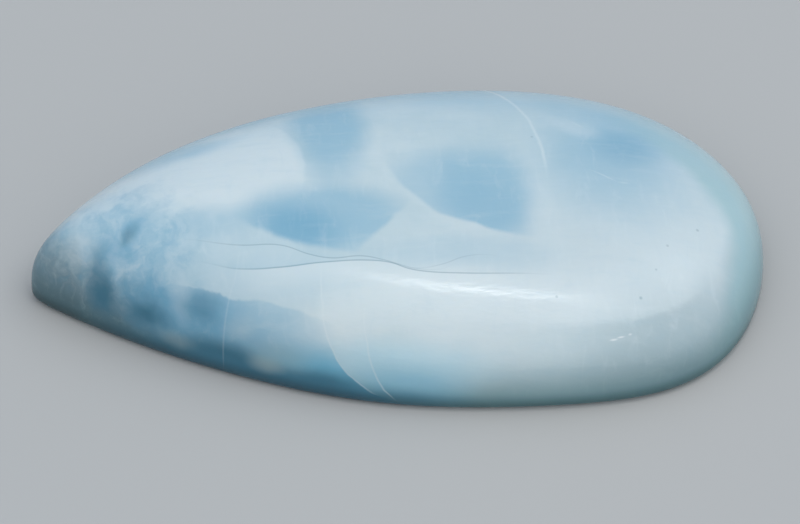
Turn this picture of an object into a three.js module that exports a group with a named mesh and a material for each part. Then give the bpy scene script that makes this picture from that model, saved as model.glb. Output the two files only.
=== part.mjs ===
// A polished larimar drop: one solid piece of blue pectolite, cut and hand polished as a teardrop
// cabochon with a flat back.
//
// Millimetres, +Z up. The stone lies on its flat back, with the origin under the middle of its
// bounding box, its length along X, its narrow tip at -X and its round end at +X.

import * as THREE from 'three';
import { ParametricGeometry } from 'three/addons/geometries/ParametricGeometry.js';
import { mergeVertices } from 'three/addons/utils/BufferGeometryUtils.js';

// Driving dimensions of the whole stone
const LENGTH = 40;
const THICKNESS = 6.85;
const TIP_RISE = 0.75; // the crown stands this much higher at the tip than in the middle

// The outline, seen from above. Half the width, and the sideways lean of the middle line, are
// sums over powers of the cosine of the outline's angle, each in millimetres.
const WIDTH_TERMS = [ 10.7, - 3.1, - 0.7, - 2.75, 2.95, 0.4, - 4 ];
const LEAN_TERMS = [ 0.6, 0.35, 0.9, 2.15, - 1.65 ];

// The edge between the flat back and the crown
const GIRDLE_HEIGHT = 0.6;
const BACK_BEVEL = 0.45;

// The crown, a superellipse: a higher flatness makes a flatter top, a higher steepness more
// upright walls. It closes on a short straight line, the spine, instead of on one point. On the
// way up its outline turns from the drop towards a plain oval, so no ridge runs to the tip.
const CROWN_FLATNESS = 2.85;
const CROWN_STEEPNESS = 2.5;
const CROWN_OVAL_SHARE = 0.9;
const CROWN_OVAL_HALF_WIDTH = 10.5;
const SPINE_MIDDLE = 0.9;
const SPINE_HALF = 4.75;

// Steps of the faceted surface
const STEPS_AROUND = 96;
const ROWS_BACK = 1;
const ROWS_BEVEL = 3;
const ROWS_CROWN = 19;

const HALF_LENGTH = LENGTH / 2;

function powerSum( terms, base ) {

	return terms.reduce( ( sum, term, power ) => sum + term * base ** power, 0 );

}

// The widest outline. The angle runs from the tip along the front, the side at -Y, to the round
// end, and back along the other side.
function outlinePoint( angle ) {

	const cosine = Math.cos( angle );
	const sine = Math.sin( angle );
	const halfWidth = sine * powerSum( WIDTH_TERMS, cosine );
	const lean = sine * sine * powerSum( LEAN_TERMS, cosine );
	return new THREE.Vector2( - HALF_LENGTH * cosine, lean - halfWidth );

}

// Where the outline's middle lies across the stone, and half its width there.
function outlineAcross() {

	const outline = Array.from( { length: 720 }, ( _, step ) => outlinePoint( step * Math.PI / 360 ) );
	const box = new THREE.Box2().setFromPoints( outline );
	return { middle: ( box.min.y + box.max.y ) / 2, half: ( box.max.y - box.min.y ) / 2 };

}

const ACROSS = outlineAcross();

function crownTop( x ) {

	return THICKNESS - TIP_RISE * x / HALF_LENGTH;

}

// Flat back: from the middle, at share 0, out to the bevel, at share 1.
function backPoint( edge, share, target ) {

	const reach = share * ( 1 - BACK_BEVEL / HALF_LENGTH );
	const reachAcross = share * ( 1 - BACK_BEVEL / ACROSS.half );
	target.set( edge.x * reach, edge.y * reachAcross, 0 );

}

// Rounded bevel: from the flat back up to the widest outline.
function bevelPoint( edge, share, target ) {

	const turn = share * Math.PI / 2;
	const inset = BACK_BEVEL * ( 1 - Math.sin( turn ) );
	target.set(
		edge.x * ( 1 - inset / HALF_LENGTH ),
		edge.y * ( 1 - inset / ACROSS.half ),
		GIRDLE_HEIGHT * ( 1 - Math.cos( turn ) )
	);

}

// Crown: from the widest outline up over the shoulder and in to the spine.
function crownPoint( edge, angle, share, target ) {

	const turn = share * Math.PI / 2;
	const reach = share < 1 ? Math.cos( turn ) ** ( 2 / CROWN_FLATNESS ) : 0;
	const rise = Math.sin( turn ) ** ( 2 / CROWN_STEEPNESS );
	const ovalY = - CROWN_OVAL_HALF_WIDTH * Math.sin( angle );
	const y = THREE.MathUtils.lerp( edge.y, ovalY, CROWN_OVAL_SHARE * ( 1 - reach ) ) * reach;
	const spineX = SPINE_MIDDLE + SPINE_HALF * edge.x / HALF_LENGTH;
	const x = THREE.MathUtils.lerp( spineX, edge.x, reach );
	target.set( x, y, GIRDLE_HEIGHT + ( crownTop( x ) - GIRDLE_HEIGHT ) * rise );

}

// The whole skin: around runs from 0 to 1 along the outline, and up from 0 to 1 from the middle of
// the back to the spine.
function skinPoint( around, up, target ) {

	const angle = around * Math.PI * 2;
	const edge = outlinePoint( angle );
	const row = up * ( ROWS_BACK + ROWS_BEVEL + ROWS_CROWN );
	const bevelRow = row - ROWS_BACK;
	const crownRow = bevelRow - ROWS_BEVEL;
	if ( bevelRow <= 0 ) backPoint( edge, row / ROWS_BACK, target );
	else if ( crownRow <= 0 ) bevelPoint( edge, bevelRow / ROWS_BEVEL, target );
	else crownPoint( edge, angle, Math.min( 1, crownRow / ROWS_CROWN ), target );
	target.y -= ACROSS.middle;

}

// Joins the skin's seam and its two closed ends into one closed surface, without the triangles that
// have no area there.
function closedSkin() {

	const rows = ROWS_BACK + ROWS_BEVEL + ROWS_CROWN;
	const open = new ParametricGeometry( skinPoint, STEPS_AROUND, rows );
	open.deleteAttribute( 'normal' );
	open.deleteAttribute( 'uv' );
	const skin = mergeVertices( open, 1e-4 );
	const corners = skin.index.array;
	const kept = [];
	for ( let i = 0; i < corners.length; i += 3 ) {

		const [ a, b, c ] = corners.slice( i, i + 3 );
		if ( a !== b && b !== c && c !== a ) kept.push( a, b, c );

	}

	skin.setIndex( kept );
	skin.computeVertexNormals();
	return skin;

}

// Polished pectolite: pale sky blue, hard and glossy
const larimar = new THREE.MeshStandardMaterial( { color: 0xa9cbdb, roughness: 0.2, metalness: 0 } );

const stone = new THREE.Mesh( closedSkin(), larimar );
stone.name = 'stone';

const larimarDrop = new THREE.Group();
larimarDrop.add( stone );

export default larimarDrop;
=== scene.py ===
import math
from collections import namedtuple

import bmesh
import bpy
from mathutils import Matrix, Vector, noise


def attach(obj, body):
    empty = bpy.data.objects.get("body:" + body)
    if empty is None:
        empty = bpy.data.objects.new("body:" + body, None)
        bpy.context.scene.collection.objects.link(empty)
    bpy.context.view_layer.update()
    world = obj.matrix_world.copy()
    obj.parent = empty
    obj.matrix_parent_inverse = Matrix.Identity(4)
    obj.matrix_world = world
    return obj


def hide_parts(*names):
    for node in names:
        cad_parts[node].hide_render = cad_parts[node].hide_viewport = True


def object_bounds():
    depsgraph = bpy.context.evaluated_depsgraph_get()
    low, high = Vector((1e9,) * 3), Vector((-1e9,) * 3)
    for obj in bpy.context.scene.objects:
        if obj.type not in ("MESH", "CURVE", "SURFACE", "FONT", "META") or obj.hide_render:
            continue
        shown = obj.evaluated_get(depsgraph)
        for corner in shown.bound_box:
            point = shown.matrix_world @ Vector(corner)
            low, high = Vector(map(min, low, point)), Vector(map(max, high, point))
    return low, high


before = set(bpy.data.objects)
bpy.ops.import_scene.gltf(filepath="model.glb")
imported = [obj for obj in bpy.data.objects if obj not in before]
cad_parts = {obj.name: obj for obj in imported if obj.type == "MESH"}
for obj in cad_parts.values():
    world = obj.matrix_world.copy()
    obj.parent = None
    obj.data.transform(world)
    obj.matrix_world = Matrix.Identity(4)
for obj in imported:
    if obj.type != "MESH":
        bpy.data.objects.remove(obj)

# A polished larimar drop on a plain table: one solid piece of blue pectolite, ground to a domed
# teardrop with a flat back and polished by hand.

bl_info = {
    "name": "Larimar Drop",
    "version": (1, 0, 0),
    "blender": (4, 5, 0),
    "location": "View3D > Sidebar > Larimar",
    "description": "A polished larimar teardrop cabochon with its table, light and camera",
    "category": "Add Mesh",
}

CAD_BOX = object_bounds()
MM = 0.001

# The stone's form in millimetres, as it was cut: the outline from above, the edge and the crown
LENGTH = 40.0
THICKNESS = 6.85
TIP_RISE = 0.75
WIDTH_TERMS = (10.7, -3.1, -0.7, -2.75, 2.95, 0.4, -4.0)
LEAN_TERMS = (0.6, 0.35, 0.9, 2.15, -1.65)
GIRDLE_HEIGHT = 0.6
BACK_BEVEL = 0.45
CROWN_FLATNESS = 2.85
CROWN_STEEPNESS = 2.5
CROWN_OVAL_SHARE = 0.9
CROWN_OVAL_HALF_WIDTH = 10.5
SPINE_MIDDLE = 0.9
SPINE_HALF = 4.75
HALF_LENGTH = LENGTH / 2

# Rows of the mesh from the middle of the back to the spine of the crown
ROWS_BACK = 12
ROWS_BEVEL = 10
ROWS_CROWN = 130

# The camera looks along the short side of the stone, turned a little towards the tip
CAMERA_DISTANCE = 240.0
CAMERA_TURN = 4.42
CAMERA_AIM = (0.0, -0.46, 3.0)
IMAGE_WIDTH = 800
PIXELS_PER_MM = 18.424
SENSOR_WIDTH = 36.0
AIM_RIGHT = 0.098
AIM_UP = -1.335
CLIP_NEAR = 0.01
CLIP_FAR = 10.0

# Hand-ground waves in the dome: how far apart the broad and the narrow ones lie, the share of each,
# and the heights between which they fade in, in millimetres
BROAD_WAVES = 7.5
NARROW_WAVES = 3.2
BROAD_SHARE = 0.8
NARROW_SHARE = 0.3
NARROW_START = Vector((11.0, 4.0, 7.0))
WAVES_FROM = 0.4
WAVES_FULL = 1.6

# Corners nearer to each other than this are one corner, in millimetres
SAME_CORNER = 1e-4


def linear_colour(code):
    """Turns an sRGB hex value into linear red, green, blue and a full alpha."""
    channels = [int(code[i:i + 2], 16) / 255 for i in (1, 3, 5)]
    linear = [c / 12.92 if c <= 0.04045 else ((c + 0.055) / 1.055) ** 2.4 for c in channels]
    return (*linear, 1.0)


def colour_property(name, description, code):
    """A colour that a user may change, with its sRGB hex default."""
    return bpy.props.FloatVectorProperty(
        name=name,
        description=description,
        subtype="COLOR",
        size=4,
        min=0.0,
        max=1.0,
        default=linear_colour(code),
    )


class LarimarStoneSettings(bpy.types.PropertyGroup):
    """Sizes and colours of the stone."""

    length: bpy.props.FloatProperty(
        name="Length",
        description="Length from the tip to the round end",
        default=CAD_BOX[1].x - CAD_BOX[0].x,
        min=0.02,
        max=0.08,
        unit="LENGTH",
    )
    steps_around: bpy.props.IntProperty(
        name="Steps Around",
        description="Corners of the mesh along the outline",
        default=480,
        min=96,
        max=640,
    )
    ripple: bpy.props.FloatProperty(
        name="Hand Ripple",
        description="Height of the gentle waves that hand grinding leaves in the dome",
        default=0.00003,
        min=0.0,
        max=0.0002,
        precision=5,
        unit="LENGTH",
    )
    milk: colour_property("Milk", "The white of the cell walls", "#D5E2E7")
    sky: colour_property("Sky", "The pale ground between the cells", "#BED3DB")
    cell: colour_property("Cell", "The blue of the cells", "#97BFD3")
    deep: colour_property("Deep", "The blue where a cell is deepest", "#6CA8C6")
    azure: colour_property("Azure", "The clear blue low in the wall", "#64B1CF")
    glow: colour_property("Glow", "The pale clear blue in front", "#B4DAE9")
    # Also used for painted contact shade along the foot of the front wall.
    ink: colour_property("Ink", "The dark teal spots near the tip", "#2F6F88")
    # Painted shade: this grey blue darkens the nose and the low ends of the front wall.
    painted_shade: colour_property("Haze", "The grey blue of the nose", "#6C8995")
    pearl: colour_property("Pearl", "The greyer white in front of the round end", "#C4D3DA")
    # Painted shade: this green grey darkens the rim at the round end.
    rim: colour_property("Rim", "The green tint of the thin rim", "#A2C5CC")
    stain: colour_property("Stain", "The faint beige of iron traces", "#9FB1B2")
    # Painted highlight: the white of a small glint on the front wall.
    glint: colour_property("Glint", "The white of a small chip", "#FFFFFF")
    # Painted shade: this tint darkens the lower wall towards the table.
    wall_shade: colour_property("Skirt", "The tint that deepens the thin lower wall", "#8AAEB0")
    foot: colour_property("Foot", "The tint of the shaded foot", "#A6BABC")


class LarimarStageSettings(bpy.types.PropertyGroup):
    """The table, the light and the camera."""

    floor_colour: colour_property("Table", "Colour of the matt table", "#B7B9BA")
    softbox_power: bpy.props.FloatProperty(
        name="Softbox Power",
        description="Power of the large light above the stone",
        default=6.5,
        min=0.0,
        max=100.0,
        unit="POWER",
    )
    key_power: bpy.props.FloatProperty(
        name="Key Power",
        description="Power of the small light that makes the bright streak",
        default=1.15,
        min=0.0,
        max=20.0,
        unit="POWER",
    )
    room_light: bpy.props.FloatProperty(
        name="Room Light",
        description="Brightness of the plain room around the stone",
        default=0.85,
        min=0.0,
        max=3.0,
    )
    elevation: bpy.props.FloatProperty(
        name="Camera Elevation",
        description="Angle of the camera above the table",
        default=math.radians(44.0),
        min=0.0,
        max=math.radians(90.0),
        subtype="ANGLE",
    )


def power_sum(terms, base):
    return sum(term * base ** power for power, term in enumerate(terms))


def lerp(a, b, share):
    return a + (b - a) * share


def outline_point(angle):
    """The widest outline in mm: from the tip along the front to the round end, and back."""
    cosine = math.cos(angle)
    sine = math.sin(angle)
    half_width = sine * power_sum(WIDTH_TERMS, cosine)
    lean = sine * sine * power_sum(LEAN_TERMS, cosine)
    return -HALF_LENGTH * cosine, lean - half_width


def outline_across():
    """Where the outline's middle lies across the stone, and half its width there."""
    across = [outline_point(math.radians(step / 2))[1] for step in range(720)]
    return (min(across) + max(across)) / 2, (max(across) - min(across)) / 2


ACROSS_MIDDLE, ACROSS_HALF = outline_across()


# The next three place a point of the skin, from a point of the outline, its angle and a share of the
# way along that stretch. Only the crown needs the angle.

def back_point(edge, angle, share):
    """A point of the flat back: on the spine's line at share 0, at the bevel at share 1."""
    spine_x = SPINE_MIDDLE + SPINE_HALF * edge[0] / HALF_LENGTH
    x = lerp(spine_x, edge[0] * (1 - BACK_BEVEL / HALF_LENGTH), share)
    return x, edge[1] * (1 - BACK_BEVEL / ACROSS_HALF) * share, 0.0


def bevel_point(edge, angle, share):
    """A point of the rounded bevel, from the flat back up to the widest outline."""
    turn = share * math.pi / 2
    inset = BACK_BEVEL * (1 - math.sin(turn))
    height = GIRDLE_HEIGHT * (1 - math.cos(turn))
    return edge[0] * (1 - inset / HALF_LENGTH), edge[1] * (1 - inset / ACROSS_HALF), height


def crown_point(edge, angle, share):
    """A point of the crown, from the widest outline over the shoulder and in to the spine."""
    turn = share * math.pi / 2
    reach = max(math.cos(turn), 0.0) ** (2 / CROWN_FLATNESS) if share < 1 else 0.0
    rise = math.sin(turn) ** (2 / CROWN_STEEPNESS)
    oval_y = -CROWN_OVAL_HALF_WIDTH * math.sin(angle)
    y = lerp(edge[1], oval_y, CROWN_OVAL_SHARE * (1 - reach)) * reach
    spine_x = SPINE_MIDDLE + SPINE_HALF * edge[0] / HALF_LENGTH
    x = lerp(spine_x, edge[0], reach)
    top = THICKNESS - TIP_RISE * x / HALF_LENGTH
    return x, y, GIRDLE_HEIGHT + (top - GIRDLE_HEIGHT) * rise


def skin_rows():
    """Each row of the skin as the function that places it and its share of that stretch."""
    rows = [(back_point, row / ROWS_BACK) for row in range(ROWS_BACK)]
    rows += [(bevel_point, row / ROWS_BEVEL) for row in range(ROWS_BEVEL)]
    rows += [(crown_point, row / ROWS_CROWN) for row in range(ROWS_CROWN + 1)]
    return rows


def ripple_height(point):
    """Gentle waves of the hand-ground dome at a point in mm, from -1 to 1, none on the back."""
    broad = noise.noise(point / BROAD_WAVES)
    narrow = noise.noise(point / NARROW_WAVES + NARROW_START)
    shown = min(1.0, max(0.0, (point.z - WAVES_FROM) / (WAVES_FULL - WAVES_FROM)))
    return (BROAD_SHARE * broad + NARROW_SHARE * narrow) * shown


def build_stone_mesh(settings):
    """One closed skin of quads, wrapped round the stone in rows."""
    metres_per_mm = settings.length / LENGTH
    steps = settings.steps_around
    angles = [math.tau * step / steps for step in range(steps)]
    edges = [outline_point(angle) for angle in angles]
    grid = bmesh.new()
    rows = []
    for place, share in skin_rows():
        row = []
        for angle, edge in zip(angles, edges):
            x, y, z = place(edge, angle, share)
            row.append(grid.verts.new((x, y - ACROSS_MIDDLE, z)))
        rows.append(row)
    for lower, upper in zip(rows, rows[1:]):
        for step in range(steps):
            after = (step + 1) % steps
            grid.faces.new((lower[step], lower[after], upper[after], upper[step]))
    bmesh.ops.remove_doubles(grid, verts=rows[0] + rows[-1], dist=SAME_CORNER)
    bmesh.ops.recalc_face_normals(grid, faces=grid.faces)
    grid.normal_update()
    moves = [(v, v.normal * ripple_height(v.co) * settings.ripple / MM) for v in grid.verts]
    for vertex, move in moves:
        vertex.co = (vertex.co + move) * metres_per_mm
    for face in grid.faces:
        face.smooth = True
    mesh = bpy.data.meshes.new("larimar_stone")
    grid.to_mesh(mesh)
    grid.free()
    return mesh


def add(tree, kind, inputs, **settings):
    """Adds a node with its settings. An input that is a socket is linked, any other is set."""
    node = tree.nodes.new(kind)
    place = len(tree.nodes)
    node.location = (place % 16 * 190, place // 16 * -330)
    for field, value in settings.items():
        setattr(node, field, value)
    for key, value in inputs.items():
        if isinstance(value, bpy.types.NodeSocket):
            tree.links.new(value, node.inputs[key])
        else:
            node.inputs[key].default_value = value
    return node


# A soft-edged body of colour inside the stone: an ellipsoid in millimetres, turned about the
# vertical by so many degrees. soft is half the width of its edge as a share of its radius, and
# within names cuts that trim it.
Cloud = namedtuple("Cloud", "colour strength centre radii turn soft within", defaults=((),))

# Trimming bodies: a sharp or soft limit that a cloud stops at, as where one crystal fan meets
# the next. A negative soft keeps what lies outside the body.
Cut = namedtuple("Cut", "centre radii soft")
DEEP_DOWN = 40.0

CUTS = {
    "white_fan": Cut((-12.0, 1.2, 0.0), (7.15, 7.4, DEEP_DOWN), 0.02),
    "left_pool_floor": Cut((-1.0, 6.8, 0.0), (12.0, 12.0, 10 * DEEP_DOWN), 0.02),
    "left_pool_end": Cut((-46.8, 35.5, 0.0), (60.0, 60.0, 10 * DEEP_DOWN), 0.003),
    "middle_pool_floor": Cut((7.5, 4.5, 0.0), (9.0, 9.0, DEEP_DOWN), 0.02),
    "front_shelf": Cut((-8.5, -6.0, -35.0), (40.0, 40.0, 39.95), 0.002),
    "right_of_shell": Cut((15.35, -9.0, 4.6), (20.0, 30.0, 9.0), 0.012),
    "left_of_shell": Cut((1.0, -9.0, 5.4), (5.6, 30.0, 5.3), -0.02),
}
POOL = ("left_pool_floor", "left_pool_end")

CLOUDS = (
    # the dome, from the tip to the round end
    Cloud("milk", 0.7, (2.0, -7.9, 4.9), (11.0, 1.8, 2.4), 0, 0.5, ("right_of_shell",)),
    Cloud("pearl", 0.7, (9.5, -6.0, 4.6), (8.5, 4.4, 3.4), 0, 0.7),
    Cloud("milk", 0.35, (14.4, -3.4, 4.0), (3.2, 4.4, DEEP_DOWN), 0, 0.6),
    Cloud("milk", 0.95, (-9.8, 1.9, 6.0), (6.5, 3.6, DEEP_DOWN), 0, 0.45, ("white_fan",)),
    Cloud("cell", 0.6, (-11.4, 3.6, 5.6), (2.6, 0.8, 4.0), 14, 0.7),
    Cloud("cell", 0.5, (-7.5, 7.4, 4.0), (6.5, 1.5, 2.4), 22, 0.7),
    Cloud("cell", 0.85, (-3.4, 5.4, 6.0), (1.9, 4.9, DEEP_DOWN), 0, 0.45),
    Cloud("cell", 0.85, (-4.0, -2.6, 6.0), (3.9, 2.3, DEEP_DOWN), -6, 0.4, POOL),
    Cloud("deep", 0.8, (-5.9, -3.5, 6.0), (2.2, 1.5, DEEP_DOWN), -8, 0.8, POOL),
    Cloud("cell", 0.6, (2.3, -0.2, 6.0), (2.9, 2.5, DEEP_DOWN), 20, 0.5, ("middle_pool_floor",)),
    Cloud("cell", 0.8, (4.5, -1.0, 6.0), (2.5, 3.7, DEEP_DOWN), 0, 0.4, ("middle_pool_floor",)),
    Cloud("deep", 0.25, (4.8, -2.6, 6.0), (2.0, 2.2, DEEP_DOWN), 0, 0.8, ("middle_pool_floor",)),
    Cloud("sky", 0.5, (4.2, 5.0, 6.0), (3.6, 2.6, DEEP_DOWN), 0, 0.6),
    Cloud("milk", 0.3, (7.9, -0.5, 6.0), (1.2, 5.5, DEEP_DOWN), 0, 0.7),
    Cloud("cell", 0.9, (11.9, 1.5, 6.0), (3.5, 4.0, DEEP_DOWN), 0, 0.7),
    Cloud("deep", 0.7, (12.7, 2.6, 6.0), (1.6, 1.5, DEEP_DOWN), 0, 0.8),
    Cloud("cell", 0.2, (11.5, 7.2, 4.6), (5.0, 1.6, 3.0), -24, 0.7),
    Cloud("pearl", 0.3, (14.4, -0.8, 6.0), (4.5, 4.5, DEEP_DOWN), 0, 0.8),
    Cloud("milk", 0.4, (9.8, 4.5, 6.0), (1.5, 0.6, 3.0), -30, 0.8),
    Cloud("cell", 0.3, (3.0, -5.4, 6.2), (4.6, 1.0, 3.0), -3, 0.6),
    Cloud("cell", 0.4, (-7.2, -6.2, 5.6), (3.8, 1.4, 1.5), 0, 0.7),
    # the mottled tip
    Cloud("cell", 0.4, (-10.5, -4.4, 5.0), (5.0, 2.6, 4.0), 0, 0.7),
    Cloud("cell", 0.9, (-15.8, -3.2, 3.5), (5.0, 3.7, 5.0), 0, 0.4),
    Cloud("deep", 0.95, (-13.6, -5.2, 2.3), (4.6, 3.2, 2.4), 0, 0.5),
    Cloud("deep", 0.5, (-15.0, -2.7, 5.2), (1.2, 1.0, 1.2), 0, 0.8),
    Cloud("cell", 0.5, (-10.2, -2.4, 6.8), (2.4, 0.75, 1.5), 0, 0.8),
    # painted shade on the nose
    Cloud("painted_shade", 0.95, (-19.6, -1.6, 1.8), (3.2, 3.4, 3.4), 0, 0.45),
    Cloud("milk", 0.45, (-16.6, -0.1, 5.8), (1.7, 1.0, 1.6), 0, 0.8),
    # the front wall
    # painted shade low on the front wall near the tip
    Cloud("painted_shade", 0.85, (-15.0, -4.6, 1.6), (5.4, 2.8, 2.2), 0, 0.6),
    Cloud("cell", 0.8, (-8.8, -7.4, 3.4), (4.2, 2.8, 2.6), 0, 0.4, ("front_shelf",)),
    Cloud("deep", 0.75, (-10.6, -6.6, 2.6), (3.4, 2.4, 1.5), 0, 0.7, ("front_shelf",)),
    Cloud("sky", 0.6, (-9.0, -7.2, 3.5), (0.8, 1.0, 0.8), 0, 0.8),
    Cloud("sky", 0.9, (12.4, -11.0, 2.0), (6.6, 4.0, 2.6), 0, 0.6),
    # painted shade low on the wall towards the round end, in this cloud and the next
    Cloud("painted_shade", 0.34, (14.4, -9.4, 2.6), (5.4, 3.4, 2.4), 0, 0.6),
    Cloud("painted_shade", 0.85, (19.4, -5.2, 1.6), (2.6, 4.0, 2.4), 0, 0.6),
    # the far wall
    Cloud("cell", 0.75, (4.8, 10.4, 3.0), (3.6, 2.2, 2.8), 0, 0.5),
    Cloud("deep", 0.6, (5.6, 10.6, 2.2), (1.9, 1.5, 1.4), 0, 0.8),
    Cloud("milk", 0.7, (0.0, 9.6, 3.6), (1.8, 2.2, 3.0), 0, 0.7),
    Cloud("azure", 0.6, (-6.4, 8.2, 1.6), (2.8, 1.8, 1.4), 0, 0.7),
    Cloud("stain", 0.35, (10.2, 9.4, 1.5), (1.2, 1.0, 0.8), 0, 0.8),
    Cloud("deep", 0.6, (13.6, 7.4, 2.6), (2.2, 2.0, 1.6), 0, 0.7),
)

# Smaller spots near the tip, over its flecks
SPOTS = (
    Cloud("deep", 0.4, (-15.8, -2.5, 5.2), (0.6, 0.6, 1.0), 0, 0.8),
    Cloud("deep", 0.6, (-14.1, -1.9, 6.3), (1.0, 0.5, 1.0), 34, 0.9),
    Cloud("ink", 0.45, (-14.5, -2.2, 6.1), (0.5, 0.28, 1.0), 24, 0.9),
    Cloud("ink", 0.45, (-16.3, -2.8, 4.2), (0.6, 0.7, 1.1), 0, 0.8),
    Cloud("ink", 0.95, (-16.1, -3.4, 2.8), (0.75, 0.9, 1.2), 0, 0.8),
    Cloud("deep", 0.85, (-13.2, -5.0, 2.9), (1.8, 1.3, 1.3), 0, 0.9),
    Cloud("ink", 0.95, (-13.8, -4.9, 2.6), (1.1, 1.0, 0.8), 0, 0.9),
    Cloud("milk", 0.3, (-17.3, -1.9, 4.8), (0.9, 0.9, 0.9), 0, 0.8),
    Cloud("milk", 0.4, (-11.9, -5.4, 4.4), (0.5, 0.8, 1.5), 0, 0.8),
    Cloud("deep", 0.85, (-10.2, -6.2, 4.2), (1.9, 1.3, 1.1), 0, 0.9, ("front_shelf",)),
    Cloud("ink", 0.4, (-10.8, -6.0, 4.0), (1.0, 0.9, 0.8), 0, 0.9, ("front_shelf",)),
    Cloud("ink", 0.5, (-12.4, 4.8, 2.8), (1.0, 1.0, 1.0), 0, 0.8),
)

# The foot of the front wall: its own colours, and painted contact shade in the low ink clouds
LOW_CLOUDS = (
    # painted contact shade
    Cloud("ink", 1.0, (-10.0, -7.4, 1.3), (2.5, 1.6, 1.0), 0, 0.6),
    Cloud("glow", 0.7, (-0.6, -10.0, 2.7), (4.4, 2.6, 1.3), 0, 0.6),
    Cloud("azure", 0.85, (-4.5, -9.2, 1.5), (3.2, 2.2, 1.6), 0, 0.6, ("left_of_shell",)),
    # painted contact shade, in this cloud and the next
    Cloud("ink", 0.9, (-4.2, -9.4, 0.8), (4.4, 2.2, 1.1), 0, 0.6, ("left_of_shell",)),
    Cloud("ink", 0.9, (-9.5, -8.0, 0.4), (8.0, 5.0, 1.1), 0, 0.6, ("left_of_shell",)),
    Cloud("azure", 0.5, (-0.2, -10.3, 1.5), (2.8, 1.6, 1.2), 0, 0.7),
    # painted contact shade
    Cloud("ink", 0.6, (-0.9, -10.4, 0.6), (3.0, 1.6, 0.7), 0, 0.8),
    Cloud("stain", 0.3, (-12.3, -6.0, 1.6), (0.8, 0.9, 0.5), 0, 0.8),
    Cloud("stain", 0.3, (-6.6, -8.4, 2.3), (1.4, 1.0, 0.7), 0, 0.8),
    Cloud("stain", 0.5, (-7.6, -8.1, 1.6), (0.8, 0.9, 0.5), 0, 0.8),
)

# Where the colours are ragged and flecked, as fine wool
TIP_WOOL = Cloud("milk", 1.0, (-15.0, -3.0, 4.0), (4.6, 4.6, 6.0), 0, 0.35)

# Fine marks, which don't wander with the cells: pits, scratches, a healed crack, and a painted
# highlight, a small white glint
MARKS = (
    Cloud("ink", 0.3, (15.9, -3.3, 5.1), (0.08, 0.08, 0.2), 0, 0.6),
    Cloud("ink", 0.25, (14.1, -4.7, 5.4), (0.07, 0.07, 0.2), 0, 0.6),
    Cloud("ink", 0.25, (13.3, -6.3, 5.2), (0.06, 0.06, 0.2), 0, 0.6),
    Cloud("ink", 0.35, (12.3, -8.0, 4.9), (0.08, 0.08, 0.2), 0, 0.6),
    Cloud("ink", 0.3, (7.8, -8.1, 5.4), (0.07, 0.07, 0.2), 0, 0.6),
    Cloud("ink", 0.25, (7.6, 3.4, 6.4), (0.07, 0.07, 0.2), 0, 0.6),
    Cloud("milk", 0.35, (11.2, 0.1, 6.2), (0.6, 0.05, 0.5), -34, 0.8),
    Cloud("milk", 0.3, (12.2, -0.4, 6.1), (0.25, 0.06, 0.4), -5, 0.8),
    Cloud("milk", 0.25, (10.2, 4.7, 5.9), (0.4, 0.06, 0.5), -45, 0.8),
    Cloud("milk", 0.17, (-9.5, -6.5, 3.4), (0.05, 1.8, 2.4), -27, 0.8),
    Cloud("milk", 0.12, (-8.9, -5.1, 6.0), (0.05, 0.8, 0.8), -15, 0.8),
    # painted highlight: a small white glint, in three strokes
    Cloud("glint", 0.45, (10.7, -10.0, 3.8), (0.2, 0.1, 0.04), 0, 0.7),
    Cloud("glint", 0.5, (11.1, -9.9, 3.85), (0.2, 0.1, 0.035), 0, 0.7),
    Cloud("glint", 0.8, (11.6, -9.8, 3.9), (0.12, 0.1, 0.05), 0, 0.7),
)

# A thin sheet of other colour where two crystal fans meet: the skin of an ellipsoid, so many
# millimetres thick, shown only inside its own window
Sheet = namedtuple("Sheet", "colour strength centre radii thick window_centre window_radii")

SHEETS = (
    Sheet("milk", 0.6, (-6.0, 1.0, 0.0), (14.3, 14.3, DEEP_DOWN), 0.16,
          (7.0, 6.0, 6.0), (3.5, 5.5, DEEP_DOWN)),
    Sheet("milk", 0.45, (1.0, -9.0, 5.4), (5.6, 30.0, 5.3), 0.09,
          (-3.2, -8.5, 3.9), (2.6, 4.5, 3.4)),
    Sheet("milk", 0.4, (1.6, -9.0, 4.6), (4.0, 30.0, 5.2), 0.08,
          (-1.8, -9.4, 3.0), (1.5, 3.0, 2.8)),
    Sheet("milk", 0.6, (2.0, 9.0, 6.0), (6.5, 30.0, 6.5), 0.16,
          (6.0, 9.8, 2.6), (4.0, 3.0, 2.2)),
)
WINDOW_SOFT = 0.2

# A healed crack along the dome, dark, and drawn about a tenth of a millimetre wide so that it shows:
# x and y of its bends in millimetres. Just in front of it, a painted highlight makes the stone paler
# by so much.
Hairline = namedtuple("Hairline", "points strength thick shelf")

HAIRLINES = (
    Hairline(((-12.4, -3.1), (-8.7, -4.1), (-6.5, -4.4), (-5.0, -5.1), (-3.9, -5.4), (-2.3, -5.4),
              (-1.2, -5.7), (-0.2, -6.1), (0.4, -6.3), (1.9, -6.4), (3.0, -6.0)), 0.32, 0.06, 0.15),
    Hairline(((-0.4, -6.2), (0.9, -6.3), (2.0, -6.1), (3.1, -5.7), (4.2, -5.6), (5.4, -5.8)),
             0.5, 0.06, 0.0),
    Hairline(((-11.4, -4.4), (-8.8, -5.3), (-6.6, -5.6), (-4.4, -5.6), (-1.8, -5.7), (-0.8, -5.9),
              (0.1, -6.3), (0.9, -6.5), (3.0, -6.7), (6.3, -6.8), (8.1, -6.9)), 0.42, 0.06, 0.6),
)
HAIRLINE_LOW = -HALF_LENGTH
HAIRLINE_SPAN = LENGTH
HAIRLINE_TAPER = 5.0
HIGHLIGHT_STEP_DEPTH = 2.2
HIGHLIGHT_STEP_EDGE = 0.2

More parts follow.
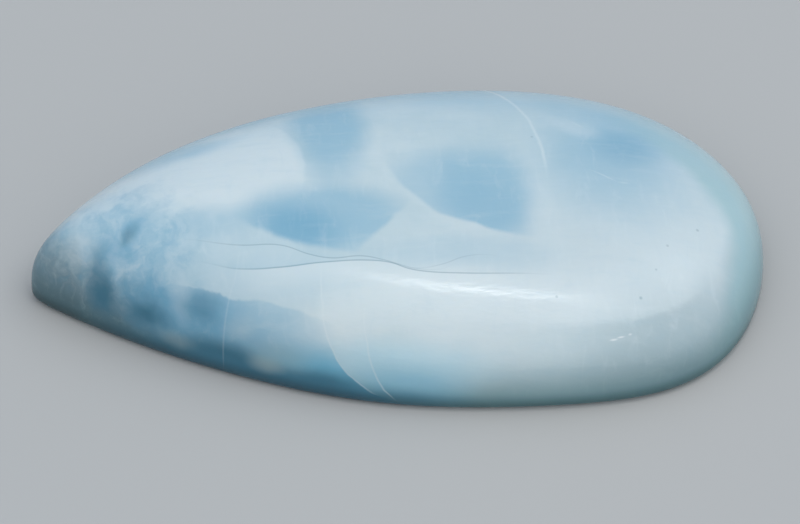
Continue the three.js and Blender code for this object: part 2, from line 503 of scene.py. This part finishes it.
# The noises inside the stone. A size is about how far apart a noise's shapes lie, in millimetres;
# where it has three, they are lengthwise, across and upwards, turned about the vertical by so many
# degrees. A reach is twice the furthest that a noise moves a place, in millimetres.
DRIFT_SIZE = 4.55
DRIFT_REACH = 1.2
WOOL_SIZE = 1.43
WOOL_REACH = 0.25
WOOL_EXTRA_IN_TIP = 1.6
FRAYED_REACH = 1.0
CALM_REACH = 0.3
GROUND_SIZE = 6.25
FIBRE_SIZES = (3.33, 0.625, 1.11)
FIBRE_TURN = -8.0
WISP_SIZES = (0.588, 2.22, 1.67)
WISP_TURN = 18.0
FLECK_SIZE = 1.25
STROKE_SIZES = (0.588, 0.238, 0.238)
STROKE_TURN = -25.0

# A colour that shows where a noise passes from low to high, up to a strength
Shade = namedtuple("Shade", "colour low high strength")

GROUND_SHADE = Shade("milk", 0.3, 0.7, 0.75)
FIBRE_SHADES = (Shade("milk", 0.5, 0.75, 0.14), Shade("cell", 0.5, 0.25, 0.1))
WISP_SHADES = (Shade("milk", 0.5, 0.8, 0.22), Shade("cell", 0.48, 0.22, 0.08))
FLECK_SHADES = (Shade("milk", 0.4, 0.85, 0.42), Shade("deep", 0.58, 0.25, 0.42))
FLECK_HEIGHTS = (1.6, 3.6)

# The painted reflection on the stone's far side and the painted shade of its rim: where each begins
# and is full, in millimetres up the stone, across it and along it, how strong it is, and the least
# that is left of it. The rim also follows an ellipsoid, and RIM_REACH is in multiples of its radii.
FAR_SLOPE = (6.4, 5.2)
FAR_ACROSS = (1.0, 4.0)
FAR_HEIGHTS = (2.5, 4.5)
FAR_ALONG = (9.0, 3.0)
FAR_STRENGTH = 0.75
FAR_LEAST = 0.5
RIM_CENTRE = (8.0, -4.0, 0.0)
RIM_RADII = (9.6, 9.6, DEEP_DOWN)
RIM_REACH = (0.95, 1.08)
RIM_ALONG = (11.0, 15.0)
RIM_ACROSS = (6.0, 0.0)
RIM_STRENGTH = 0.75
RIM_LEAST = 0.45

# Heights over which painted shade darkens the lower wall and its foot, in millimetres. The flat back,
# which faces straight down at -1, is left out.
WALL_SHADE_HEIGHTS = (3.8, 0.0)
FOOT_HEIGHTS = (1.3, 0.3)
OFF_THE_BACK = (-0.9, -0.4)

# The polish: where the strokes pass from one roughness to the other, and how deep they are. Light
# goes a millimetre or two into the stone, blue the furthest.
STROKE_SPAN = (0.3, 0.7)
POLISH_ROUGHNESS = (0.06, 0.12)
STROKE_DEPTH = 0.01
PECTOLITE_IOR = 1.6
MILKINESS = 0.4
LIGHT_DEPTH = 1.8
LIGHT_SPREAD = (0.8, 1.0, 1.2)


def ellipsoid_reach(tree, place, centre, radii):
    """How far a place lies from a centre, as a multiple of the ellipsoid's radius that way."""
    local = add(tree, "ShaderNodeMapping", {
        "Vector": place,
        "Location": centre,
        "Scale": radii,
    }, vector_type="TEXTURE")
    return add(tree, "ShaderNodeVectorMath", {0: local.outputs[0]}, operation="LENGTH").outputs["Value"]


def fade(tree, value, low, high, top=1.0, bottom=0.0):
    """Smoothly from bottom at low to top at high. low may be above high."""
    return add(tree, "ShaderNodeMapRange", {
        "Value": value,
        "From Min": low,
        "From Max": high,
        "To Min": bottom,
        "To Max": top,
    }, interpolation_type="SMOOTHSTEP").outputs["Result"]


def calculate(tree, operation, first, second=0.0, third=0.0):
    return add(tree, "ShaderNodeMath", {0: first, 1: second, 2: third}, operation=operation).outputs[0]


def tint(tree, share, below, above, blend="MIX"):
    """Lays one colour over another by a share from 0 to 1."""
    mix = add(tree, "ShaderNodeMix", {0: share, 6: below, 7: above}, data_type="RGBA", blend_type=blend)
    return mix.outputs[2]


def inside_share(tree, place, centre, radii, soft, top=1.0, turn=0.0):
    """Smoothly from 0 outside an ellipsoid to top inside it, or the other way with a negative soft.

    The ball texture falls from 1 in the middle to 0 at its skin, so its skin is set where the soft
    edge ends.
    """
    grown = 1 + abs(soft)
    ball = add(tree, "ShaderNodeTexGradient", {"Vector": place}, gradient_type="SPHERICAL")
    ball.texture_mapping.vector_type = "TEXTURE"
    ball.texture_mapping.translation = centre
    ball.texture_mapping.rotation = (0.0, 0.0, math.radians(turn))
    ball.texture_mapping.scale = [radius * grown for radius in radii]
    edge = 2 * abs(soft) / grown
    ends = (0.0, edge) if soft > 0 else (edge, 0.0)
    return fade(tree, ball.outputs["Fac"], *ends, top)


def cloud_share(tree, place, cloud):
    """How much of a cloud's colour shows at a place."""
    share = inside_share(tree, place, cloud.centre, cloud.radii, cloud.soft, cloud.strength, cloud.turn)
    for name in cloud.within:
        share = calculate(tree, "MULTIPLY", share, inside_share(tree, place, *CUTS[name]))
    return share


def sheet_share(tree, place, sheet):
    """How much of a thin sheet's colour shows at a place."""
    reach = ellipsoid_reach(tree, place, sheet.centre, sheet.radii)
    off = calculate(tree, "ABSOLUTE", calculate(tree, "SUBTRACT", reach, 1.0))
    line = fade(tree, off, sheet.thick / sheet.radii[0], 0.0, sheet.strength)
    window = inside_share(tree, place, sheet.window_centre, sheet.window_radii, WINDOW_SOFT)
    return calculate(tree, "MULTIPLY", line, window)


def hairline_shares(tree, place, hairline):
    """How much of a hairline shows, and of the painted highlight just in front of it."""
    parts = add(tree, "ShaderNodeSeparateXYZ", {0: place}).outputs
    along = calculate(tree, "DIVIDE", calculate(tree, "SUBTRACT", parts[0], HAIRLINE_LOW), HAIRLINE_SPAN)
    bend = add(tree, "ShaderNodeFloatCurve", {"Value": along})
    curve = bend.mapping.curves[0]
    first, last = hairline.points[0], hairline.points[-1]
    points = ((HAIRLINE_LOW, first[1]), *hairline.points, (HAIRLINE_LOW + HAIRLINE_SPAN, last[1]))
    for index, (x, y) in enumerate(points):
        spot = ((x - HAIRLINE_LOW) / HAIRLINE_SPAN, (y - HAIRLINE_LOW) / HAIRLINE_SPAN)
        if index in (0, len(points) - 1):
            curve.points[0 if index == 0 else -1].location = spot
        else:
            curve.points.new(*spot)
    bend.mapping.update()
    middle = calculate(tree, "MULTIPLY_ADD", bend.outputs[0], HAIRLINE_SPAN, HAIRLINE_LOW)
    behind = calculate(tree, "SUBTRACT", parts[1], middle)
    start = fade(tree, parts[0], first[0], first[0] + HAIRLINE_TAPER)
    stop = fade(tree, parts[0], last[0], last[0] - HAIRLINE_TAPER)
    shown = calculate(tree, "MULTIPLY", start, stop)
    line = fade(tree, calculate(tree, "ABSOLUTE", behind), hairline.thick, 0.0, hairline.strength)
    # the painted highlight just in front of the crack
    front = fade(tree, behind, 0.0, -hairline.thick, hairline.shelf)
    front = calculate(tree, "MULTIPLY", front, fade(tree, behind, -HIGHLIGHT_STEP_DEPTH, -HIGHLIGHT_STEP_EDGE))
    return calculate(tree, "MULTIPLY", line, shown), calculate(tree, "MULTIPLY", front, shown)


def wandered(tree, place, texture, reach):
    """Moves a place by a noise's colour, up to half of reach in each direction."""
    swing = add(tree, "ShaderNodeVectorMath", {0: texture, 1: (0.5, 0.5, 0.5)}, operation="SUBTRACT")
    swing = add(tree, "ShaderNodeVectorMath", {0: swing.outputs[0], "Scale": reach}, operation="SCALE")
    moved = add(tree, "ShaderNodeVectorMath", {0: swing.outputs[0], 1: place}, operation="ADD")
    return moved.outputs[0]


def product(tree, share, *others):
    for other in others:
        share = calculate(tree, "MULTIPLY", share, other)
    return share


def noise_pattern(tree, place, size, detail, roughness=0.5, distortion=0.0):
    """A noise whose shapes lie about so many millimetres apart."""
    return add(tree, "ShaderNodeTexNoise", {
        "Vector": place,
        "Scale": 1 / size,
        "Detail": detail,
        "Roughness": roughness,
        "Distortion": distortion,
    }).outputs


def drawn_out(tree, place, sizes, turn):
    """Places for a noise that has another size each way, in units of those sizes."""
    return add(tree, "ShaderNodeMapping", {
        "Vector": place,
        "Rotation": (0.0, 0.0, math.radians(turn)),
        "Scale": [1 / size for size in sizes],
    }).outputs[0]


def lay_clouds(tree, place, clouds, colour, colours):
    """Lays clouds over a colour, one after another."""
    for cloud in clouds:
        colour = tint(tree, cloud_share(tree, place, cloud), colour, getattr(colours, cloud.colour))
    return colour


def lay_shades(tree, pattern, shades, colour, colours, within=1.0):
    """Lays a noise's shades over a colour, one after another, only as far as within shows."""
    for shade in shades:
        share = product(tree, fade(tree, pattern, shade.low, shade.high, shade.strength), within)
        colour = tint(tree, share, colour, getattr(colours, shade.colour))
    return colour


def crystal_fans(tree, place, bent, colours):
    """The stone's main colours: the ground, the cells in it, and their fibres and wisps."""
    # a ground of pale sky blue and milk, in soft clouds 4 to 8 mm across
    clouds = noise_pattern(tree, place, GROUND_SIZE, detail=4.0, distortion=0.4)
    colour = lay_shades(tree, clouds["Fac"], (GROUND_SHADE,), colours.sky, colours)
    colour = lay_clouds(tree, bent, CLOUDS, colour, colours)

    # faint fibres of the crystal fans, drawn about 0.6 mm wide so that they show
    lengthwise = drawn_out(tree, bent, FIBRE_SIZES, FIBRE_TURN)
    fibres = noise_pattern(tree, lengthwise, 1.0, detail=4.0, roughness=0.6)
    colour = lay_shades(tree, fibres["Fac"], FIBRE_SHADES, colour, colours)

    # feathery wisps across the fibres, about 0.6 mm wide
    crosswise = drawn_out(tree, bent, WISP_SIZES, WISP_TURN)
    wisps = noise_pattern(tree, crosswise, 1.0, detail=5.0, roughness=0.6, distortion=0.6)
    return lay_shades(tree, wisps["Fac"], WISP_SHADES, colour, colours)


def painted_edge_light(tree, place, bent, off_back, colour, colours):
    """The painted reflection on the far side and the painted shade on the rim and the lower wall."""
    along, across, height = add(tree, "ShaderNodeSeparateXYZ", {0: place}).outputs

    # painted reflection: the far side's slope is tinted bluer and darker, most of all towards the tip
    far = product(
        tree,
        fade(tree, height, *FAR_SLOPE, FAR_STRENGTH),
        fade(tree, across, *FAR_ACROSS),
        fade(tree, height, *FAR_HEIGHTS),
        fade(tree, along, *FAR_ALONG, bottom=FAR_LEAST),
    )
    colour = tint(tree, far, colour, colours.cell)

    # painted shade: the rim at the round end is darker and greener
    rim = product(
        tree,
        fade(tree, ellipsoid_reach(tree, bent, RIM_CENTRE, RIM_RADII), *RIM_REACH, RIM_STRENGTH),
        fade(tree, along, *RIM_ALONG),
        fade(tree, across, *RIM_ACROSS, bottom=RIM_LEAST),
    )
    colour = tint(tree, rim, colour, colours.rim)

    # painted shade: the wall is darker and greener towards the table, but not the flat back
    wall_shade = product(tree, fade(tree, height, *WALL_SHADE_HEIGHTS), off_back)
    return tint(tree, wall_shade, colour, colours.wall_shade, "MULTIPLY")


def seams_and_marks(tree, place, calm, colour, colours):
    """Thin pale sheets between the fans, healed cracks, pits and scratches, with painted highlights."""
    for sheet in SHEETS:
        colour = tint(tree, sheet_share(tree, calm, sheet), colour, getattr(colours, sheet.colour))
    for hairline in HAIRLINES:
        line, shelf = hairline_shares(tree, place, hairline)
        # painted highlight: the paler step just in front of the crack
        colour = tint(tree, shelf, colour, colours.milk)
        colour = tint(tree, line, colour, colours.ink)
    return lay_clouds(tree, place, MARKS, colour, colours)


def larimar_colour(tree, colours):
    """The colour of larimar at every place in the stone, and that place in millimetres."""
    space = add(tree, "ShaderNodeTexCoord", {}).outputs
    scaled = add(tree, "ShaderNodeVectorMath", {0: space["Object"], "Scale": 1 / MM}, operation="SCALE")
    place = scaled.outputs[0]
    height = add(tree, "ShaderNodeSeparateXYZ", {0: place}).outputs[2]
    facing_up = add(tree, "ShaderNodeSeparateXYZ", {0: space["Normal"]}).outputs[2]
    off_back = fade(tree, facing_up, *OFF_THE_BACK)

    # the cells' edges wander by about half a millimetre, and in the tip they are ragged
    drift = noise_pattern(tree, place, DRIFT_SIZE, detail=2.0)["Color"]
    wool = noise_pattern(tree, place, WOOL_SIZE, detail=3.0)["Color"]
    tip = cloud_share(tree, place, TIP_WOOL)
    ragged = calculate(tree, "MULTIPLY_ADD", tip, WOOL_EXTRA_IN_TIP, WOOL_REACH)
    bent = wandered(tree, wandered(tree, place, drift, DRIFT_REACH), wool, ragged)
    frayed = wandered(tree, place, wool, FRAYED_REACH)
    calm = wandered(tree, place, wool, CALM_REACH)

    colour = crystal_fans(tree, place, bent, colours)
    colour = painted_edge_light(tree, place, bent, off_back, colour, colours)

    # white and blue flecks in the tip, a millimetre across and less
    flecks = noise_pattern(tree, bent, FLECK_SIZE, detail=5.0, roughness=0.58)["Fac"]
    fleecy = product(tree, tip, fade(tree, height, *FLECK_HEIGHTS))
    colour = lay_shades(tree, flecks, FLECK_SHADES, colour, colours, fleecy)

    colour = lay_clouds(tree, frayed, SPOTS, colour, colours)
    colour = lay_clouds(tree, calm, LOW_CLOUDS, colour, colours)
    colour = seams_and_marks(tree, place, calm, colour, colours)

    # the very foot sits in its own shade
    foot = product(tree, fade(tree, height, *FOOT_HEIGHTS), off_back)
    return tint(tree, foot, colour, colours.foot, "MULTIPLY"), place


def larimar_material(colours):
    """Larimar, blue pectolite, ground and polished by hand.

    Fans of fine crystals make cloudy cells of blue in a milky ground. Light enters a little way,
    which softens the shade, and the polish gives a clear, slightly uneven gloss.
    """
    material = bpy.data.materials.new("polished_larimar")
    material.use_nodes = True
    tree = material.node_tree
    tree.nodes.clear()
    colour, place = larimar_colour(tree, colours)

    # fine waves left by the polishing, drawn 0.25 mm wide so that they show
    strokes = drawn_out(tree, place, STROKE_SIZES, STROKE_TURN)
    grain = noise_pattern(tree, strokes, 1.0, detail=3.0)["Fac"]
    gloss = add(tree, "ShaderNodeMapRange", {
        "Value": grain,
        "From Min": STROKE_SPAN[0],
        "From Max": STROKE_SPAN[1],
        "To Min": POLISH_ROUGHNESS[0],
        "To Max": POLISH_ROUGHNESS[1],
    })
    bump = add(tree, "ShaderNodeBump", {"Strength": 1.0, "Distance": STROKE_DEPTH * MM, "Height": grain})
    shader = add(tree, "ShaderNodeBsdfPrincipled", {
        "Base Color": colour,
        "Roughness": gloss.outputs["Result"],
        "IOR": PECTOLITE_IOR,
        "Subsurface Weight": MILKINESS,
        "Subsurface Radius": LIGHT_SPREAD,
        "Subsurface Scale": LIGHT_DEPTH * MM,
        "Normal": bump.outputs["Normal"],
    })
    add(tree, "ShaderNodeOutputMaterial", {"Surface": shader.outputs[0]})
    return material


# The table top, in metres. It lies this far under the stone, so that the two don't flicker.
TABLE_WIDTH = 2.0
TABLE_DROP = 0.00002
CARD_ROUGHNESS = 0.9


def table_material(colour):
    """Matt card: no shine, so the table stays a plain ground."""
    material = bpy.data.materials.new("matt_card")
    material.use_nodes = True
    shader = material.node_tree.nodes["Principled BSDF"]
    shader.inputs["Base Color"].default_value = colour
    shader.inputs["Roughness"].default_value = CARD_ROUGHNESS
    return material


def link_object(name, data):
    made = bpy.data.objects.new(name, data)
    bpy.context.scene.collection.objects.link(made)
    return made


def add_table(colour):
    """A plain square table top, 2 m wide, just under the stone."""
    half = TABLE_WIDTH / 2
    grid = bmesh.new()
    places = ((-half, -half), (half, -half), (half, half), (-half, half))
    grid.faces.new([grid.verts.new((x, y, -TABLE_DROP)) for x, y in places])
    mesh = bpy.data.meshes.new("table_top")
    grid.to_mesh(mesh)
    grid.free()
    mesh.materials.append(table_material(colour))
    table = link_object("table_top", mesh)


# A lamp above the stone: its width and depth, its place in metres, its turn in degrees, and how far
# its glow fades in from each end of its width and of its depth, as shares of that side
Lamp = namedtuple("Lamp", "name width depth place turn width_fades depth_fades")

SOFTBOX = Lamp("softbox", 1.5, 0.8, (0.38, 0.06, 0.8), 35.0, (0.45, 0.3), (0.12, 0.8))
KEY_LIGHT = Lamp("key_light", 0.4, 0.075, (0.12, -0.02, 0.8), -29.0, (0.4, 0.6), (0.2, 0.25))

# The room: the direction that it is brightest in, how far a direction leans towards that one where
# the room is dimmest, from -1 to 1, and the colours of both ends
ROOM_BRIGHT_SIDE = (0.1, -0.7, 0.7)
ROOM_DIM_FROM = -0.8
ROOM_DIM = "#84ABCB"
ROOM_BRIGHT = "#FFFFFF"


def add_lamp(lamp, power):
    """A flat lamp that shines straight down, with soft edges."""
    light = bpy.data.lights.new(lamp.name, "AREA")
    light.shape = "RECTANGLE"
    light.size = lamp.width
    light.size_y = lamp.depth
    light.energy = power
    light.use_nodes = True
    tree = light.node_tree
    surface = add(tree, "ShaderNodeNewGeometry", {}).outputs["Parametric"]
    sides = add(tree, "ShaderNodeSeparateXYZ", {0: surface}).outputs
    glow = 1.0
    for side, fades in zip(sides, (lamp.width_fades, lamp.depth_fades)):
        glow = calculate(tree, "MULTIPLY", fade(tree, side, 0.0, fades[0]), glow)
        glow = calculate(tree, "MULTIPLY", fade(tree, side, 1.0, 1.0 - fades[1]), glow)
    tree.links.new(glow, tree.nodes["Emission"].inputs["Strength"])
    made = link_object(lamp.name, light)
    made.location = lamp.place
    made.rotation_euler = (0.0, 0.0, math.radians(lamp.turn))
    made.visible_camera = False


def add_room(strength):
    """Soft cool light from all sides, brightest above the photographer and dimmest behind the stone."""
    world = bpy.data.worlds.new("room")
    world.use_nodes = True
    tree = world.node_tree
    around = add(tree, "ShaderNodeTexCoord", {}).outputs["Generated"]
    facing = add(tree, "ShaderNodeVectorMath", {0: around, 1: ROOM_BRIGHT_SIDE}, operation="DOT_PRODUCT")
    bright = fade(tree, facing.outputs["Value"], ROOM_DIM_FROM, 1.0)
    colour = tint(tree, bright, linear_colour(ROOM_DIM), linear_colour(ROOM_BRIGHT))
    background = tree.nodes["Background"]
    tree.links.new(colour, background.inputs["Color"])
    background.inputs["Strength"].default_value = strength
    bpy.context.scene.world = world


def add_camera(elevation):
    """A long lens at the height and turn of the photographer."""
    turn = math.radians(CAMERA_TURN)
    ahead = Vector((math.sin(turn), math.cos(turn), 0.0))
    right = Vector((math.cos(turn), -math.sin(turn), 0.0))
    back = Vector((0, 0, 1)) * math.sin(elevation) - ahead * math.cos(elevation)
    up = Vector((0, 0, 1)) * math.cos(elevation) + ahead * math.sin(elevation)
    aim = Vector(CAMERA_AIM) + right * AIM_RIGHT + up * AIM_UP
    lens = bpy.data.cameras.new("camera")
    lens.sensor_width = SENSOR_WIDTH
    lens.lens = SENSOR_WIDTH * CAMERA_DISTANCE * PIXELS_PER_MM / IMAGE_WIDTH
    lens.clip_start = CLIP_NEAR
    lens.clip_end = CLIP_FAR
    camera = link_object("camera", lens)
    turned = Matrix((right, up, back)).transposed().to_4x4()
    camera.matrix_world = Matrix.Translation((aim + back * CAMERA_DISTANCE) * MM) @ turned
    bpy.context.scene.camera = camera


class LARIMAR_OT_stone(bpy.types.Operator):
    """Build the polished larimar drop in place of its plain solid"""

    bl_idname = "larimar.stone"
    bl_label = "Larimar Stone"

    def execute(self, context):
        settings = context.scene.larimar_stone
        stone = link_object("larimar_stone", build_stone_mesh(settings))
        stone.data.materials.append(larimar_material(settings))
        if not stone.data.polygons:
            raise RuntimeError("the stone has no faces")
        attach(stone, "root")
        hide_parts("stone")
        return {"FINISHED"}


class LARIMAR_OT_stage(bpy.types.Operator):
    """Add the table, the light and the camera"""

    bl_idname = "larimar.stage"
    bl_label = "Table, Light and Camera"

    def execute(self, context):
        settings = context.scene.larimar_stage
        add_table(settings.floor_colour)
        add_lamp(SOFTBOX, settings.softbox_power)
        add_lamp(KEY_LIGHT, settings.key_power)
        add_room(settings.room_light)
        add_camera(settings.elevation)
        context.scene.view_settings.view_transform = "Standard"
        return {"FINISHED"}


class LARIMAR_PT_panel(bpy.types.Panel):
    """Larimar drop"""

    bl_label = "Larimar Drop"
    bl_space_type = "VIEW_3D"
    bl_region_type = "UI"
    bl_category = "Larimar"

    def draw(self, context):
        for owner, operator in (
            (context.scene.larimar_stone, "larimar.stone"),
            (context.scene.larimar_stage, "larimar.stage"),
        ):
            box = self.layout.box()
            for name in owner.bl_rna.properties.keys():
                if name not in ("rna_type", "name"):
                    box.prop(owner, name)
            box.operator(operator)


CLASSES = (
    LarimarStoneSettings,
    LarimarStageSettings,
    LARIMAR_OT_stone,
    LARIMAR_OT_stage,
    LARIMAR_PT_panel,
)


def register():
    for kind in CLASSES:
        bpy.utils.register_class(kind)
    bpy.types.Scene.larimar_stone = bpy.props.PointerProperty(type=LarimarStoneSettings)
    bpy.types.Scene.larimar_stage = bpy.props.PointerProperty(type=LarimarStageSettings)


def unregister():
    del bpy.types.Scene.larimar_stage
    del bpy.types.Scene.larimar_stone
    for kind in reversed(CLASSES):
        bpy.utils.unregister_class(kind)


def main():
    register()
    bpy.ops.larimar.stone()
    bpy.ops.larimar.stage()


if __name__ == "__main__":
    main()
